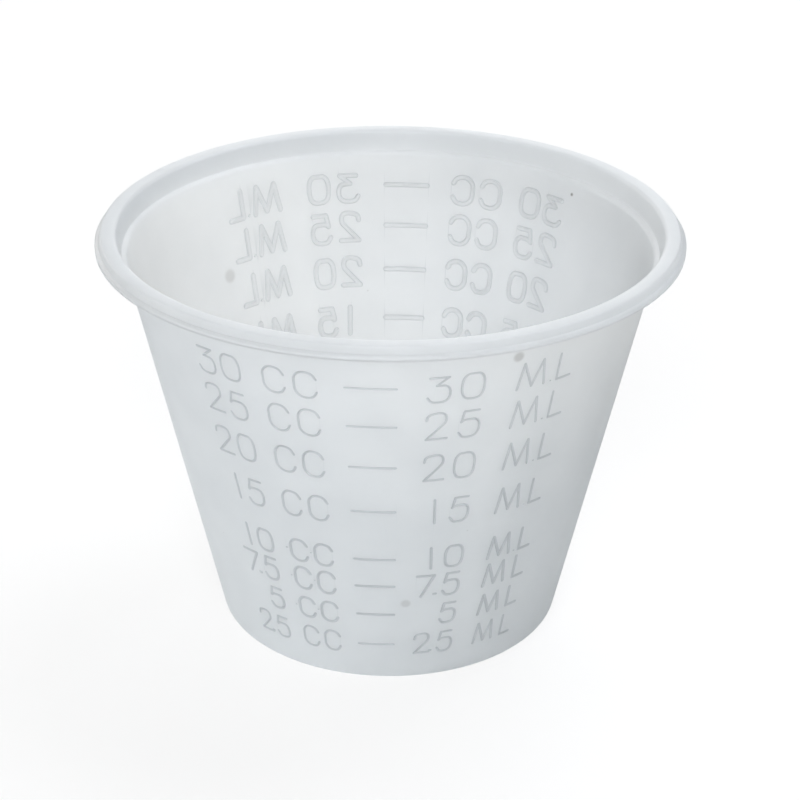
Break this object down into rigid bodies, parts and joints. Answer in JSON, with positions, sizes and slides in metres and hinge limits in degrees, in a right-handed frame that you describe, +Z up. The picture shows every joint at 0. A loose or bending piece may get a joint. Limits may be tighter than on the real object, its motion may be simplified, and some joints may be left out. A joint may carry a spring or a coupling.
{
  "type": "medicine cup",
  "caption": "Small translucent measuring cup with a tapered wall, a flat turned-down brim, a stacking step and pressed volume marks.",
  "frame": {"origin": "middle of the plane that the cup stands on, on the cup's own axis", "axes": "+Z up along the cup's axis; the front volume scale faces -Y and the back scale faces +Y"},
  "size_m": [0.0486, 0.0486, 0.0351],
  "materials": {
    "polypropylene": "translucent, lightly frosted, formed from sheet"
  },
  "bodies": {
    "root": {"cup": "polypropylene"}
  },
  "joints": []
}
